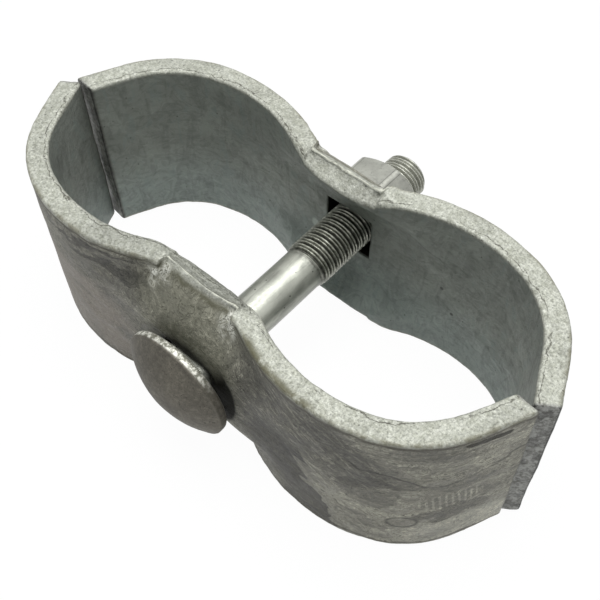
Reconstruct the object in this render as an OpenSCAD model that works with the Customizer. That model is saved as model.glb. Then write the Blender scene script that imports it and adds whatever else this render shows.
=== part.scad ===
// Two-pipe panel clamp: two pressed steel saddles drawn together by one carriage bolt and nut.
// The bolt axis is Y, the pipes run along Z, and the clamp stands on the straps' lower edges.
// The origin is on the bolt axis, midway between the two saddles.

/* [Saddle strap] */
// Width of each strap, measured along the pipes
strap_w = 38; // [34:0.5:60]
// Thickness of the pressed steel
strap_t = 4.2; // [3:0.1:5]
// From the joint plane to the inner face of the web between the pipes
web_in = 13.6; // [12:0.1:20]
// Half of the flat at the middle of the web
web_flat = 0.6; // [0.2:0.1:3]
// Bend from the web out to each pipe bow, at the middle of the strap's thickness
neck_r = 27.9; // [22:0.1:34]
// Angle of that bend
neck_angle = 25.4; // [18:0.1:30]
// Bow over the pipe next to the web, at the middle of the thickness
inner_bow_r = 31.2; // [27:0.1:36]
// Angle of the inner bow
inner_bow_angle = 44.8; // [38:0.1:48]
// Tighter bow that runs down to the strap's end, at the middle of the thickness
outer_bow_r = 20.75; // [18:0.05:23]
// Angle of the outer bow
outer_bow_angle = 45.4; // [40:0.1:50]
// Gap between the two saddles' ends, across the joint plane
jaw_gap = 0.3; // [0.2:0.1:3]
// How far each saddle's outline lies to one side of its bolt hole
hole_offset = 1; // [0:0.05:1.5]
// How much longer one end of the strap is than its mean, and the other end shorter
end_skew = 0.8; // [0:0.1:1.5]
// Slant of the cut at the long end, which leaves the inner face longer
long_slant = 5; // [0:1:10]
// Slant of the cut at the short end, which leaves the outer face longer
short_slant = 17; // [0:1:20]

/* [Pressed bolt boss] */
// Length along the strap of the lips that the die stamps above and below the bolt
boss_w = 16.5; // [15.5:0.1:20]
// How far the boss stands out of the web
boss_rise = 5.6; // [4:0.1:8]
// Height of the flat at the boss's middle, under the bolt head or the nut
boss_flat = 12; // [11.5:0.1:14]
// How far the boss's upper and lower lips lie under the web's outer face
lip_set_in = 0.6; // [0.2:0.1:1.2]
// How far the lips lie inside the strap's edges
lip_drop = 0.6; // [0.3:0.1:1.5]
// Flat ledge left between the boss's hollow and the web's edges
ledge = 0.8; // [0.4:0.1:1.5]
// Depth of the waist drawn into the web's edges, at its inner face
waist_depth = 2.8; // [1.5:0.1:3.5]
// Length of the waist along the strap
waist_len = 34; // [26:0.5:44]

/* [Carriage bolt] */
// Length under the head
bolt_len = 63.5; // [58:0.5:90]
// Plain shank, rolled smaller than the thread
shank_d = 8.5; // [7:0.1:9]
// Outside of the thread
thread_d = 9.4; // [9:0.05:9.8]
// Length of the thread, back from the tip
thread_len = 32.1; // [26:0.1:40]
// Chamfer at the tip
tip_chamfer = 0.8; // [0.3:0.1:1.2]
// Side of the square neck
neck_w = 9.5; // [9:0.1:10]
// Length of the square neck
neck_len = 5.5; // [4:0.1:8]
// Diameter of the round head
head_d = 22.2; // [20:0.1:26]
// Height of the head
head_h = 5.4; // [4:0.1:7]
// Height of the head's rim, under the dome
rim_h = 1.7; // [1.2:0.1:2.4]
// Bevel under the rim
rim_bevel = 0.7; // [0.2:0.1:1]
// Room on each side of the square neck in the saddle's hole
neck_room = 0.65; // [0.3:0.05:1]
// How far the head stands off the boss, as the neck is not drawn fully in
head_gap = 2.1; // [0:0.1:2.5]

/* [Hex nut] */
// Across the flats
nut_af = 15.6; // [13:0.1:17]
// Thickness
nut_t = 7.8; // [6:0.1:10]
// Chamfer at the corners, measured in from the points
nut_chamfer = 1.4; // [0.5:0.1:1.6]
// Turn of the nut about the bolt
nut_turn = 13; // [0:1:59]
// Radial clearance between the nut and the bolt
thread_fit = 0.05; // [0.02:0.01:0.1]
// Countersink at each end of the nut's bore
bore_bevel = 0.5; // [0.2:0.1:0.8]

/* [Hidden] */
$fn = 144;

// Slope of the nut's chamfer, from its face
chamfer_tilt = 30;
// How far a cutting shape reaches past what it cuts
over = 1;
// Largest angle that one flat of a bend turns through
facet_angle = 3;
// Length of the roller shape that cuts the waist
roller_len = 3 * strap_w;

half_t = strap_t / 2;
web_mid = web_in + half_t;
web_out = web_in + strap_t;
boss_in = web_in + boss_rise;
seat = boss_in + strap_t;
hole_w = neck_w + 2 * neck_room;

// The lip of the boss and the waist's inner edge: distances from the joint plane and the mid-height
lip = [web_out - lip_set_in, strap_w / 2 - lip_drop];
foot = [web_in, strap_w / 2 - waist_depth];
edge_tilt = atan2(lip[1] - foot[1], lip[0] - foot[0]);
waist_sag = waist_depth * cos(edge_tilt);
waist_r = (pow(waist_len / 2, 2) + pow(waist_sag, 2)) / (2 * waist_sag);

// Unit vector at an angle from +X
function along(angle) = [cos(angle), sin(angle)];

// Bend centres and joints of the strap's middle line, outward from the web
neck_c = [web_flat, web_mid + neck_r];
bow_start = neck_c + neck_r * along(neck_angle - 90);
inner_bow_c = bow_start + inner_bow_r * along(neck_angle - 90);
// The pressing runs out into the bows before it reaches their crests
press_w = 2 * inner_bow_c[0];
bow_joint_angle = 90 + neck_angle - inner_bow_angle;
bow_joint = inner_bow_c + inner_bow_r * along(bow_joint_angle);
outer_bow_c = bow_joint - outer_bow_r * along(bow_joint_angle);
end_angle = bow_joint_angle - outer_bow_angle;
end_start = outer_bow_c + outer_bow_r * along(end_angle);
mean_end = (end_start[1] - half_t * sin(end_angle) - jaw_gap / 2) / cos(end_angle);

// Points on a circle about a centre, from one angle to another
function arc(centre, r, from, to) =
    let (steps = ceil(abs(to - from) / facet_angle))
        [for (i = [0 : steps]) centre + r * along(from + (to - from) * i / steps)];

// One face of the strap from the middle of the web to an end, at a depth from its middle line
function face_line(depth, end_len, slant) = concat(
    arc(neck_c, neck_r - depth, -90, neck_angle - 90),
    arc(inner_bow_c, inner_bow_r + depth, 90 + neck_angle, bow_joint_angle),
    arc(outer_bow_c, outer_bow_r + depth, bow_joint_angle, end_angle),
    [end_start + depth * along(end_angle)
        + (end_len + half_t * abs(tan(slant)) + depth * tan(slant)) * along(end_angle - 90)]
);

// The points in reverse order
function backwards(points) = [for (i = [len(points) - 1 : -1 : 0]) points[i]];

// The points mirrored to the other side of the web
function other_side(points) = [for (p = points) [-p[0], p[1]]];

// One face of the strap from the short end, at -X, to the long end
function whole_line(depth) = concat(
    backwards(other_side(face_line(depth, mean_end - end_skew, short_slant))),
    face_line(depth, mean_end + end_skew, -long_slant)
);

// All that lies inside the strap's outer face
module lobes() {
    inner = whole_line(-half_t);
    linear_extrude(height = strap_w, center = true)
        polygon(concat(whole_line(half_t), [inner[len(inner) - 1], inner[0]]));
}

// The room for the pipes, inside the strap's inner face
module pipe_room() {
    inner = whole_line(-half_t);
    linear_extrude(height = 2 * strap_w, center = true)
        polygon(concat(inner, [
            [inner[len(inner) - 1][0], -strap_w],
            [inner[0][0], -strap_w]
        ]));
}

// Section of the boss seen along the strap: a flat, and an arc from each end of it to a foot
module boss_section(top, flat, base) {
    run = base[1] - flat / 2;
    drop = top - base[0];
    r = (pow(run, 2) + pow(drop, 2)) / (2 * drop);
    upper = arc([top - r, flat / 2], r, 0, asin(run / r));
    lower = [for (p = backwards(upper)) [p[0], -p[1]]];
    polygon(concat(lower, upper, [[base[0] - over, base[1]], [base[0] - over, -base[1]]]));
}

// A section seen along the strap, carried across the web
module across_web(width) {
    rotate([90, 0, 90])
        linear_extrude(height = width, center = true)
            children();
}

// Arc drawn into the web's edge, deepest at the inner face
module waist_cut() {
    translate([0, foot[0], foot[1]])
        rotate([edge_tilt, 0, 0])
            translate([0, strap_w / 2, waist_r])
                rotate([90, 0, 0])
                    cylinder(r = waist_r, h = roller_len, center = true);
}

// One pressed saddle, with its bolt hole on the Y axis and its web on the +Y side
module saddle() {
    difference() {
        translate([hole_offset, 0, 0])
            difference() {
                union() {
                    difference() {
                        lobes();
                        translate([-boss_w / 2, web_mid, -strap_w])
                            cube([boss_w, strap_w, 2 * strap_w]);
                    }
                    across_web(press_w)
                        boss_section(seat, boss_flat, lip);
                }
                pipe_room();
                across_web(press_w)
                    boss_section(boss_in, boss_flat, [foot[0], foot[1] - ledge]);
                for (side = [0, 1])
                    mirror([0, 0, side])
                        waist_cut();
            }
        translate([0, seat, 0])
            cube([hole_w, 2 * seat, hole_w], center = true);
    }
}

module front_saddle() {
    color("DarkGray")
        rotate([0, 0, 180])
            saddle();
}

module rear_saddle() {
    color("Gray")
        saddle();
}

// Round head: a shallow dome on a bevelled rim, rising from z = 0
module bolt_head() {
    dome_h = head_h - rim_h;
    dome_r = (pow(head_d / 2, 2) + pow(dome_h, 2)) / (2 * dome_h);
    intersection() {
        rotate_extrude()
            polygon([
                [0, 0],
                [head_d / 2 - 2 * rim_bevel, 0],
                [head_d / 2, rim_bevel],
                [head_d / 2, head_h],
                [0, head_h]
            ]);
        translate([0, 0, head_h - dome_r])
            sphere(r = dome_r);
    }
}

module carriage_bolt() {
    plain_end = bolt_len - thread_len;
    color("LightSlateGray")
        translate([0, -seat - head_gap, 0])
            rotate([-90, 0, 0]) {
                mirror([0, 0, 1])
                    bolt_head();
                translate([-neck_w / 2, -neck_w / 2, 0])
                    cube([neck_w, neck_w, neck_len]);
                cylinder(d = shank_d, h = plain_end);
                translate([0, 0, plain_end])
                    rotate_extrude()
                        polygon([
                            [0, 0],
                            [thread_d / 2 - tip_chamfer, 0],
                            [thread_d / 2, tip_chamfer],
                            [thread_d / 2, thread_len - tip_chamfer],
                            [thread_d / 2 - tip_chamfer, thread_len],
                            [0, thread_len]
                        ]);
            }
}

module hex_nut() {
    point_r = nut_af / 2 / cos(30);
    bore_r = thread_d / 2 + thread_fit;
    face_r = point_r - nut_chamfer;
    color("Silver")
        translate([0, seat, 0])
            rotate([-90, 0, 0])
                difference() {
                    intersection() {
                        rotate(-nut_turn)
                            cylinder(r = point_r, h = nut_t, $fn = 6);
                        rotate_extrude()
                            polygon([
                                [0, 0],
                                [face_r, 0],
                                [face_r + nut_t / 2 / tan(chamfer_tilt), nut_t / 2],
                                [face_r, nut_t],
                                [0, nut_t]
                            ]);
                    }
                    translate([0, 0, -over])
                        cylinder(r = bore_r, h = nut_t + 2 * over);
                    for (end = [0, 1])
                        translate([0, 0, end * nut_t])
                            mirror([0, 0, end])
                                cylinder(r1 = bore_r + bore_bevel, r2 = bore_r, h = bore_bevel);
                }
}

front_saddle();
rear_saddle();
carriage_bolt();
hex_nut();
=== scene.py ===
"""Looks of the two-pipe panel clamp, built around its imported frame.

Shapes are worked out in millimetres in the frame's axes and scaled to metres as they become meshes.
"""

import itertools
import math
from functools import cached_property
from types import SimpleNamespace

import bmesh
import bpy
import numpy as np
from mathutils import Euler, Matrix, Vector


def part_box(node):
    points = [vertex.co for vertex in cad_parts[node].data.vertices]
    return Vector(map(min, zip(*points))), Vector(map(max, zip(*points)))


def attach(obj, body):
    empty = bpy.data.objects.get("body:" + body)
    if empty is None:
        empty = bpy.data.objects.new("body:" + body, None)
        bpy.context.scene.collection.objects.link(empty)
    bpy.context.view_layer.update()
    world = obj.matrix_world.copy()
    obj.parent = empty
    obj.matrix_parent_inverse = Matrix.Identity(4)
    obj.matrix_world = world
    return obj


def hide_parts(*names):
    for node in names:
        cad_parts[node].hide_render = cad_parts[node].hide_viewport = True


MM = 0.001

# Strap: thickness, and the middle line from the web's centre out to the end
STRAP_T = 4.2
WEB_IN = 13.6
WEB_FLAT = 0.6
NECK_R = 27.9
NECK_ANGLE = math.radians(25.4)
INNER_BOW_R = 31.2
INNER_BOW_ANGLE = math.radians(44.8)
OUTER_BOW_R = 20.75
OUTER_BOW_ANGLE = math.radians(45.4)
JAW_GAP = 0.3
HOLE_OFFSET = 1.0
END_SKEW = 0.8
LONG_SLANT = math.radians(-8.5)
SHORT_SLANT = math.radians(19.5)
END_ROUND = 0.3
SECTION_ROUND = 0.55
SHEAR_FROM = 7.0
SHEAR_FULL = 1.0

# Boss pressed out of the web, its stamped lips and the waist in the web's edges
BOSS_W = 16.5
BOSS_RISE = 5.6
BOSS_FLAT = 12.0
LIP_SET_IN = 0.6
LIP_DROP = 0.6
LEDGE = 0.8
WAIST_DEPTH = 2.8
WAIST_LEN = 34.0
WAIST_BLEND = 0.5
LIP_SIDE = 0.25
PRESS_BLEND = 1.2
PRESS_FULL = 21.0
PRESS_END = 27.0
UPRIGHT_FULL = 7.0
UPRIGHT_END = 15.0

# Spacing of the saddle's rings, closer at the lips' sides, and points round its section
RING_STEP = 0.4
FINE_STEP = 0.13
FINE_REACH = 0.45
FACE_COUNTS = (34, 30, 34)
EDGE_COUNT = 9
WALL_COUNT = 10

# Lumps of zinc: runs at the lips' corners, a bead along each lip and a blob on the far one
RUN_HEIGHT = 17.4
RUN_HALF = (1.9, 2.1)
RUN_LIFT = 0.40
BEAD_HEIGHT = 18.7
BEAD_LIFT = 0.14
BLOB_DEPTH = 1.5
BLOB_HALF = (0.9, 0.7)
BLOB_LIFT = 0.22

# How far the lumps reach below the sheared edge, down to the floor
ZINC_LUMPS = 0.3

# Bolt and nut; the seam on the thread's crest is a share of the thread's depth and of a turn
SHANK_D = 8.5
THREAD_D = 9.4
THREAD_LEN = 32.1
PITCH = 1.5875
THREAD_DEPTH = 0.82
SEAM_DEPTH = 0.72
SEAM_HALF = 0.10
TIP_CHAMFER = 0.8
NECK_W = 9.5
NECK_LEN = 5.5
NECK_ROOM = 0.65
NECK_CORNER = 1.27
SHOULDER = 0.8
HEAD_GAP = 2.1
BOLT_LEN = 63.5
HEAD_D = 22.2
HEAD_H = 5.4
RIM_H = 1.7
RIM_BEVEL = 0.7
RIM_ROUND = 0.3
NUT_AF = 15.6
NUT_T = 7.8
NUT_CHAMFER = 1.4
NUT_TURN = math.radians(13)
THREAD_FIT = 0.05

SEAT = WEB_IN + BOSS_RISE + STRAP_T
HOLE_HALF = NECK_W / 2 + NECK_ROOM
UNDER_HEAD = -SEAT - HEAD_GAP
TIP = UNDER_HEAD + BOLT_LEN
THREAD_START = TIP - THREAD_LEN

# Camera, fitted to the edges of the strap in the photograph
CAMERA_PLACE = (72.6 * MM, -72.75 * MM, 142.0 * MM)
CAMERA_TURN = (35.15, 1.02, 41.63)
CAMERA_LENS = 57.15


# Repeatable noise

def lattice(i, j, k, seed):
    """Fixed random values from -1 to 1 on an integer lattice."""
    n = (i * 374761393 + j * 668265263 + k * 1440662683 + seed * 974711) & 0xFFFFFFFF
    n = ((n ^ (n >> 13)) * 1274126177) & 0xFFFFFFFF
    n = ((n ^ (n >> 15)) * 2246822519) & 0xFFFFFFFF
    return ((n ^ (n >> 16)) & 0xFFFF) / 32767.5 - 1.0


def noise(points, size, seed):
    """Smooth noise with features about size long."""
    q = points / size
    base = np.floor(q).astype(np.int64)
    f = q - base
    f = f * f * (3 - 2 * f)
    total = np.zeros(len(points))
    for corner in itertools.product((0, 1), repeat=3):
        x, y, z = [f[:, k] if far else 1 - f[:, k] for k, far in enumerate(corner)]
        i, j, k = (base + corner).T
        total += x * y * z * lattice(i, j, k, seed)
    return total


def fractal(points, size, seed, octaves=3):
    """Noise with finer and weaker noise added to it."""
    total = np.zeros(len(points))
    for k in range(octaves):
        total += noise(points + 17.3 * k, size / 2**k, seed + k) / 2**k
    return total


def smooth_step(edge0, edge1, x):
    t = np.clip((x - edge0) / (edge1 - edge0), 0, 1)
    return t * t * (3 - 2 * t)


def soft_min(a, b, blend):
    """The smaller of two values, rounded off where they cross."""
    h = np.clip(0.5 + 0.5 * (b - a) / blend, 0, 1)
    return b * (1 - h) + a * h - blend * h * (1 - h)


def soft_max(a, b, blend):
    """The larger of two values, rounded off where they cross."""
    return -soft_min(-a, -b, blend)


# Meshes

def make_object(name, points_mm, quads, tris=()):
    """A smooth-shaded mesh object from points in millimetres, with every face turned outward."""
    mesh = bpy.data.meshes.new(name)
    faces = [tuple(face) for face in (*quads, *tris)]
    mesh.from_pydata((np.asarray(points_mm) * MM).tolist(), [], faces)
    work = bmesh.new()
    work.from_mesh(mesh)
    bmesh.ops.recalc_face_normals(work, faces=work.faces)
    work.to_mesh(mesh)
    work.free()
    mesh.shade_smooth()
    mesh.update()
    return placed(name, mesh)


def placed(name, data):
    """A new object of the scene with this mesh, light or camera."""
    obj = bpy.data.objects.new(name, data)
    bpy.context.scene.collection.objects.link(obj)
    return obj


def read_points(obj, kind):
    """One vector for each of a mesh's points: its place or its normal."""
    points = obj.data.vertices
    flat = np.empty(len(points) * 3, dtype=np.float32)
    points.foreach_get(kind, flat)
    return flat.reshape(-1, 3)


def places_of(obj):
    return read_points(obj, "co") / MM


def set_places(obj, points_mm):
    obj.data.vertices.foreach_set("co", (points_mm * MM).astype(np.float32).ravel())
    obj.data.update()


def set_masks(obj, **masks):
    """Stores numbers for the vertices under each name, for the materials to read."""
    for name, values in masks.items():
        layer = obj.data.attributes.new(name, "FLOAT", "POINT")
        layer.data.foreach_set("value", np.asarray(values, dtype=np.float32))


def ring_quads(rows, columns):
    """Quads of a grid of rows, each a ring of columns."""
    r = np.arange(rows - 1)[:, None]
    c = np.arange(columns)[None, :]
    after = (c + 1) % columns
    quads = np.stack(
        [r * columns + c, r * columns + after, (r + 1) * columns + after, (r + 1) * columns + c],
        axis=-1,
    )
    return quads.reshape(-1, 4)


# Pressed saddle

def middle_line():
    """The strap's middle line from the web's centre: length, x, y and heading, to the mean end."""
    past_end = 40.0
    step = 0.01
    bends = [
        (WEB_FLAT, 0.0),
        (NECK_R * NECK_ANGLE, 1 / NECK_R),
        (INNER_BOW_R * INNER_BOW_ANGLE, -1 / INNER_BOW_R),
        (OUTER_BOW_R * OUTER_BOW_ANGLE, -1 / OUTER_BOW_R),
        (past_end, 0.0),
    ]
    curve = np.concatenate([np.full(int(round(length / step)), k) for length, k in bends])
    heading = np.concatenate([[0], np.cumsum(curve) * step])
    middle = (heading[1:] + heading[:-1]) / 2
    x = np.concatenate([[0], np.cumsum(np.cos(middle)) * step])
    y = WEB_IN + STRAP_T / 2 + np.concatenate([[0], np.cumsum(np.sin(middle)) * step])
    inner_y = y - STRAP_T / 2 * np.cos(heading)
    past_bows = sum(length for length, _ in bends[:-1])
    s = np.arange(len(x)) * step
    end = s[(s > past_bows) & (inner_y < JAW_GAP / 2)][0]
    return s, x, y, heading, end


def side_samples(half, counts, stops):
    """Places along one side of a rounded rectangle, and how far each lies in from that side."""
    arc = np.linspace(math.pi / 4, 0, 5)[:-1]
    start_along = -half + SECTION_ROUND * (1 - np.sin(arc))
    start_inset = SECTION_ROUND * (1 - np.cos(arc))
    knots = [-half + SECTION_ROUND] + list(stops) + [half - SECTION_ROUND]
    straight = [np.linspace(a, b, n + 1)[:-1] for a, b, n in zip(knots[:-1], knots[1:], counts)]
    straight = np.concatenate(straight + [[half - SECTION_ROUND]])
    along = np.concatenate([start_along, straight, -start_along[::-1]])
    inset = np.concatenate([start_inset, np.zeros(len(straight)), start_inset[::-1]])
    return along, inset


def section_ring(strap_w):
    """The strap's rounded section as a ring of (depth, height), with the hole's sides in it."""
    hole = (-HOLE_HALF, HOLE_HALF)
    half_t = STRAP_T / 2
    half_w = strap_w / 2
    face_z, face_in = side_samples(half_w, FACE_COUNTS, hole)
    edge_d, edge_in = side_samples(half_t, (EDGE_COUNT,), ())
    outer = np.stack([half_t - face_in, face_z], axis=1)[:-1]
    top = np.stack([-edge_d, half_w - edge_in], axis=1)[:-1]
    return np.concatenate([outer, top, -outer, -top]), len(outer), len(top)


def boss_face(z, top, foot):
    """Distance from the joint plane of a face of the boss, at a height."""
    run = foot[1] - BOSS_FLAT / 2
    drop = top - foot[0]
    r = (run**2 + drop**2) / (2 * drop)
    past = np.clip(np.abs(z) - BOSS_FLAT / 2, 0, run)
    return np.maximum(top - r + np.sqrt(np.maximum(r**2 - past**2, 0)), foot[0])


def saddle_shape(s, ring, strap_w):
    """Places, in the rear saddle's frame, of the section's ring at each length along the strap."""
    line_s, line_x, line_y, line_h, end = middle_line()
    side = np.sign(s)[:, None]
    d = ring[None, :, 0]

    # Towards each end the rings lean over, as the strap is sheared at a slant there
    slant = np.where(side > 0, math.tan(LONG_SLANT), math.tan(SHORT_SLANT))
    far = np.abs(s)[:, None]
    far = far + d * slant * smooth_step(end - SHEAR_FROM, end - SHEAR_FULL, far)
    mx = np.interp(far, line_s, line_x) * side
    my = np.interp(far, line_s, line_y)
    mh = np.interp(far, line_s, line_h) * side
    z = ring[None, :, 1] + 0 * mx
    w = d / STRAP_T + 0.5
    half_w = strap_w / 2

    lip = (WEB_IN + STRAP_T - LIP_SET_IN, half_w - LIP_DROP)
    foot = (WEB_IN, half_w - WAIST_DEPTH)
    tilt = math.atan2(lip[1] - foot[1], lip[0] - foot[0])
    sag = WAIST_DEPTH * math.cos(tilt)
    waist_r = ((WAIST_LEN / 2) ** 2 + sag**2) / (2 * sag)

    def height(x, y):
        dip = waist_r - np.sqrt(waist_r**2 - x**2)
        cut = foot[1] + dip / math.cos(tilt) + (y - WEB_IN) * math.tan(tilt)
        return soft_min(cut, half_w + 0 * cut, WAIST_BLEND)

    def stretched(limit):
        beyond = np.clip(np.abs(z) - BOSS_FLAT / 2, 0, None)
        scale = (limit - BOSS_FLAT / 2) / (half_w - BOSS_FLAT / 2)
        return np.sign(z) * (np.minimum(np.abs(z), BOSS_FLAT / 2) + beyond * scale)

    # Across the web each ring stands straight in depth, as the hole's walls do
    lean = smooth_step(UPRIGHT_FULL, UPRIGHT_END, np.abs(mx))
    x = mx - np.sin(mh) * d * lean
    y = my + np.cos(mh) * d + np.sin(mh) * np.tan(mh) * d * (1 - lean)

    # The lips are stamped into the edges, and the pressing runs out into the bows
    stamped = smooth_step(BOSS_W / 2 + LIP_SIDE, BOSS_W / 2 - LIP_SIDE, np.abs(mx))
    edge_y = y + (WEB_IN + w * (lip[0] - WEB_IN) - y) * stamped
    z = stretched(height(x, edge_y))
    outer = boss_face(z, SEAT, lip)
    inner = boss_face(z, SEAT - STRAP_T, (foot[0], foot[1] - LEDGE))
    boss_y = inner + (outer - inner) * w
    press = smooth_step(PRESS_END, PRESS_FULL, np.abs(mx))
    pressed = y + (soft_max(y, boss_y, PRESS_BLEND) - y) * press
    y = pressed + (boss_y - pressed) * stamped * w
    return np.stack([x + HOLE_OFFSET, y, z], axis=-1)


def stations():
    """Lengths of the rings along the strap, then the hole's sides and the two ends among them."""
    line_s, line_x, _, _, end = middle_line()
    lip_side = np.interp(BOSS_W / 2, line_x, line_s)
    fine = (lip_side - FINE_REACH, lip_side + FINE_REACH)
    hole = (-HOLE_HALF - HOLE_OFFSET, HOLE_HALF - HOLE_OFFSET)
    short_end = end - END_SKEW + STRAP_T / 2 * abs(math.tan(SHORT_SLANT))
    long_end = end + END_SKEW + STRAP_T / 2 * abs(math.tan(LONG_SLANT))
    ends = (-short_end, long_end)
    round_off = END_ROUND * (1 - np.cos(np.linspace(0, math.pi / 2, 5)[:-1]))
    low = ends[0] + round_off
    high = (ends[1] - round_off)[::-1]
    knots = [ends[0] + END_ROUND, -fine[1], -fine[0], *hole, *fine, ends[1] - END_ROUND]
    steps = [RING_STEP, FINE_STEP] + [RING_STEP] * 3 + [FINE_STEP, RING_STEP]
    body = [
        np.linspace(a, b, math.ceil((b - a) / step) + 1)[:-1]
        for a, b, step in zip(knots[:-1], knots[1:], steps)
    ]
    return np.concatenate([low, *body, high]), hole, ends


def end_cap(ring_ids, n_face, n_edge, first_new):
    """Fills a ring of n_face + n_edge + n_face + n_edge points with a grid of quads."""
    a = ring_ids[:n_face + 1]
    b = ring_ids[n_face:n_face + n_edge + 1]
    c = ring_ids[n_face + n_edge:2 * n_face + n_edge + 1][::-1]
    d = np.append(ring_ids[2 * n_face + n_edge:], ring_ids[0])[::-1]
    ids = np.empty((n_face + 1, n_edge + 1), dtype=np.int64)
    ids[:, 0] = a
    ids[:, -1] = c
    ids[-1, :] = b
    ids[0, :] = d
    count = (n_face - 1) * (n_edge - 1)
    ids[1:-1, 1:-1] = first_new + np.arange(count).reshape(n_face - 1, n_edge - 1)
    quads = np.stack([ids[:-1, :-1], ids[1:, :-1], ids[1:, 1:], ids[:-1, 1:]], axis=-1)
    return ids, quads.reshape(-1, 4)


def cap_places(ids, places):
    """Places of a cap's new points, blended from its four sides."""
    def blend(share, a, b):
        return (1 - share) * a + share * b

    rows, columns = ids.shape
    u = np.linspace(0, 1, rows)[:, None, None]
    v = np.linspace(0, 1, columns)[None, :, None]
    across = blend(v, places[ids[:, :1]], places[ids[:, -1:]])
    along = blend(u, places[ids[:1]], places[ids[-1:]])
    corners = blend(u, across[:1], across[-1:])
    return (across + along - corners)[1:-1, 1:-1].reshape(-1, 3)


def close_ends(places, n_rows, n_face, n_edge):
    """Fills the first and the last ring of a grid with caps, and returns all places and the caps."""
    n_ring = 2 * (n_face + n_edge)
    caps = []
    for row in (0, n_rows - 1):
        ids, cap = end_cap(np.arange(n_ring) + row * n_ring, n_face, n_edge, len(places))
        places = np.concatenate([places, cap_places(ids, places)])
        caps.append(cap if row else cap[:, ::-1])
    return places, np.concatenate(caps)


def cut_hole(places, quads, ring, hole_rows, n_face, n_edge):
    """Opens the square hole: drops both faces' quads inside it and joins their borders with walls."""
    n_ring = len(ring)
    first, last = hole_rows
    inside = np.nonzero(np.abs(ring[:n_face, 1]) < HOLE_HALF + 1e-6)[0]
    low, high = int(inside[0]), int(inside[-1])
    back = n_face + n_edge
    row = np.arange(len(quads)) // n_ring
    column = np.arange(len(quads)) % n_ring
    in_rows = (row >= first) & (row < last)
    in_outer = (column >= low) & (column < high)
    in_inner = (column >= back + low) & (column < back + high)
    kept = quads[~(in_rows & (in_outer | in_inner))]

    rim = [(r, low) for r in range(first, last)]
    rim += [(last, c) for c in range(low, high)]
    rim += [(r, high) for r in range(last, first, -1)]
    rim += [(first, c) for c in range(high, low, -1)]
    rim_outer = np.array([r * n_ring + c for r, c in rim])
    rim_inner = np.array([r * n_ring + back + low + high - c for r, c in rim])
    share = np.linspace(0, 1, WALL_COUNT + 1)[1:-1, None, None]
    between = places[rim_outer] * (1 - share) + places[rim_inner] * share
    between_ids = len(places) + np.arange(between.shape[0] * len(rim)).reshape(-1, len(rim))
    ids = np.concatenate([[rim_outer], between_ids, [rim_inner]])
    after = np.roll(ids, -1, axis=1)
    walls = np.stack([ids[:-1], ids[1:], after[1:], after[:-1]], axis=-1).reshape(-1, 4)
    return np.concatenate([places, between.reshape(-1, 3)]), np.concatenate([kept, walls])


def saddle_masks(strap, on_ends, n_grid, n_hole, half_w):
    """What each point is on, from 0 to 1: first the grid's points, then the walls', then the caps'."""
    along, height, depth = strap.T
    edge = smooth_step(half_w - 0.75, half_w - 0.40, np.abs(height))
    edge[n_grid:] = 0
    sheared = np.ones(len(strap))
    sheared[:n_grid] = on_ends
    sheared[n_grid:n_hole] = 0
    boss = smooth_step(17.0, 7.0, np.abs(along)) * smooth_step(0.5, 1.5, depth)
    boss[n_grid:] = 0
    inner = smooth_step(0.4, -0.4, depth) * (1 - edge) * (1 - sheared)
    wall = np.zeros(len(strap))
    wall[n_grid:n_hole] = 1
    return {"edge": edge, "sheared": sheared, "boss": boss, "inner": inner, "wall": wall}


def saddle(name, seed, front):
    """One pressed saddle as a closed mesh with its square hole, rough with zinc."""
    low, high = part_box("rear_saddle")
    strap_w = (high[2] - low[2]) / MM
    ring, n_face, n_edge = section_ring(strap_w)
    s, hole, ends = stations()

    # Rings near the ends are drawn in, to round the sheared corners
    near_end = np.minimum(s - ends[0], ends[1] - s)
    drawn_in = END_ROUND**2 - np.clip(END_ROUND - near_end, 0, END_ROUND) ** 2
    inset = END_ROUND - np.sqrt(np.maximum(drawn_in, 0))
    half = np.array([STRAP_T / 2, strap_w / 2])
    shrunk = [ring * (1 - k / half) for k in inset]
    places = np.concatenate([
        saddle_shape(np.array([a]), b, strap_w)[0] for a, b in zip(s, shrunk)
    ])
    n_grid = len(places)
    hole_rows = [int(np.argmin(np.abs(s - side))) for side in hole]
    quads = ring_quads(len(s), len(ring))
    places, quads = cut_hole(places, quads, ring, hole_rows, n_face, n_edge)
    n_hole = len(places)
    places, caps = close_ends(places, len(s), n_face, n_edge)

    # Each point's place on the strap: length along it, height and depth
    strap = np.zeros((len(places), 3))
    strap[:n_grid, 0] = np.repeat(s, len(ring))
    strap[:n_grid, 1] = np.tile(ring[:, 1], len(s))
    strap[:n_grid, 2] = np.tile(ring[:, 0], len(s))
    strap[n_grid:, 1] = places[n_grid:, 2]
    on_ends = np.repeat(smooth_step(0.5, 0.1, near_end), len(ring))
    masks = saddle_masks(strap, on_ends, n_grid, n_hole, strap_w / 2)

    if front:
        places[:, 0] *= -1
        places[:, 1] *= -1
    obj = make_object(name, places, np.concatenate([quads, caps]))
    masks["drip"] = roughen_saddle(obj, seed, masks, strap, front)
    set_masks(obj, **masks)
    layer = obj.data.attributes.new("strap", "FLOAT_VECTOR", "POINT")
    layer.data.foreach_set("vector", strap.astype(np.float32).ravel())
    return obj


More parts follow.
